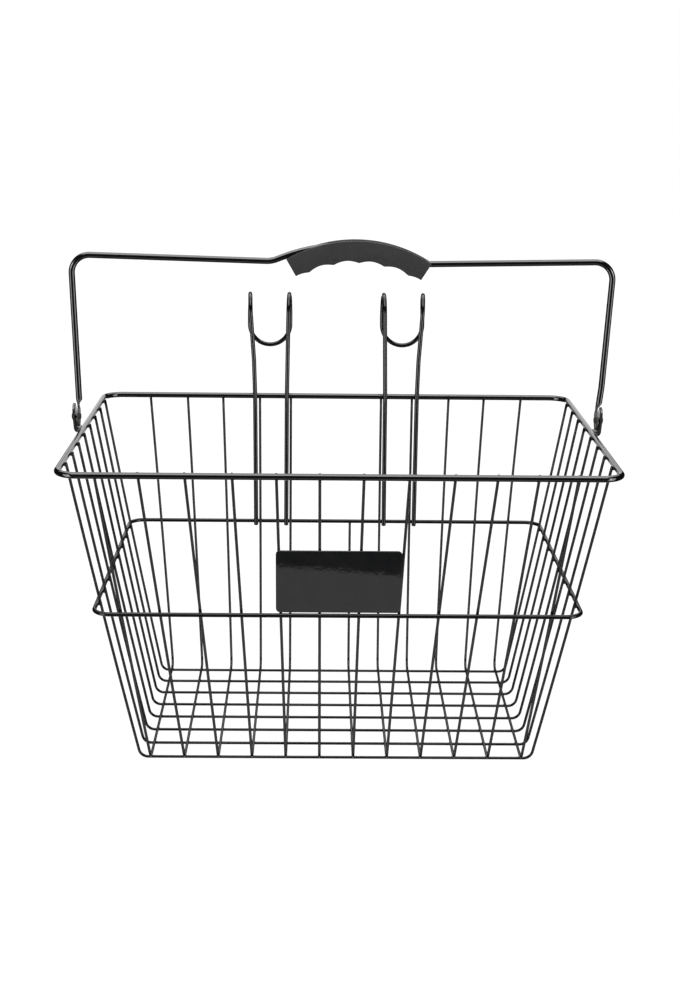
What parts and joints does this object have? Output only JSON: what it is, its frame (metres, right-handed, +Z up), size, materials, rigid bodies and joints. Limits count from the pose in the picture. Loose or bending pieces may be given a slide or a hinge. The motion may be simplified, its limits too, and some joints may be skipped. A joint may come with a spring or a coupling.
{
  "type": "bicycle handlebar basket",
  "caption": "Tapered black wire basket that hangs on a handlebar by bent-wire hooks, with a swinging wire carrying handle, a moulded finger grip and a blank name plate.",
  "frame": {"origin": "middle of the footprint of the whole basket with its hooks, on the surface that the floor wires rest on", "axes": "+Z up, +X along the long side of the basket, +Y back towards the handlebar and the rider, so the name plate faces -Y"},
  "size_m": [0.3838, 0.3022, 0.3523],
  "materials": {
    "coated_wire": "gloss black dip coating on steel wire",
    "coated_fittings": "gloss black coating on pressed steel",
    "name_plate": "glossy dark grey",
    "handle_grip": "matte dark grey, finely textured"
  },
  "bodies": {
    "basket": {"cross_wire_01": "coated_wire", "cross_wire_02": "coated_wire", "cross_wire_03": "coated_wire", "cross_wire_04": "coated_wire", "cross_wire_05": "coated_wire", "cross_wire_06": "coated_wire", "cross_wire_07": "coated_wire", "cross_wire_08": "coated_wire", "fore_aft_wire_01": "coated_wire", "fore_aft_wire_02": "coated_wire", "fore_aft_wire_03": "coated_wire", "fore_aft_wire_04": "coated_wire", "fore_aft_wire_05": "coated_wire", "fore_aft_wire_06": "coated_wire", "fore_aft_wire_07": "coated_wire", "fore_aft_wire_08": "coated_wire", "fore_aft_wire_09": "coated_wire", "fore_aft_wire_10": "coated_wire", "fore_aft_wire_11": "coated_wire", "fore_aft_wire_12": "coated_wire", "left_handle_ear": "coated_fittings", "left_handlebar_hook": "coated_wire", "left_pivot_rivet": "coated_fittings", "middle_ring": "coated_wire", "name_plate": "name_plate", "right_handle_ear": "coated_fittings", "right_handlebar_hook": "coated_wire", "right_pivot_rivet": "coated_fittings", "top_rim": "coated_wire"},
    "handle": {"handle_wire": "coated_wire", "handle_grip": "handle_grip"}
  },
  "joints": [
    {"name": "handle_swing", "type": "hinge", "parent": "basket", "child": "handle", "pos_m": [-0.00162, -0.0178, 0.2258], "axis": [1, 0, 0], "range_deg": [-90, 90]}
  ]
}
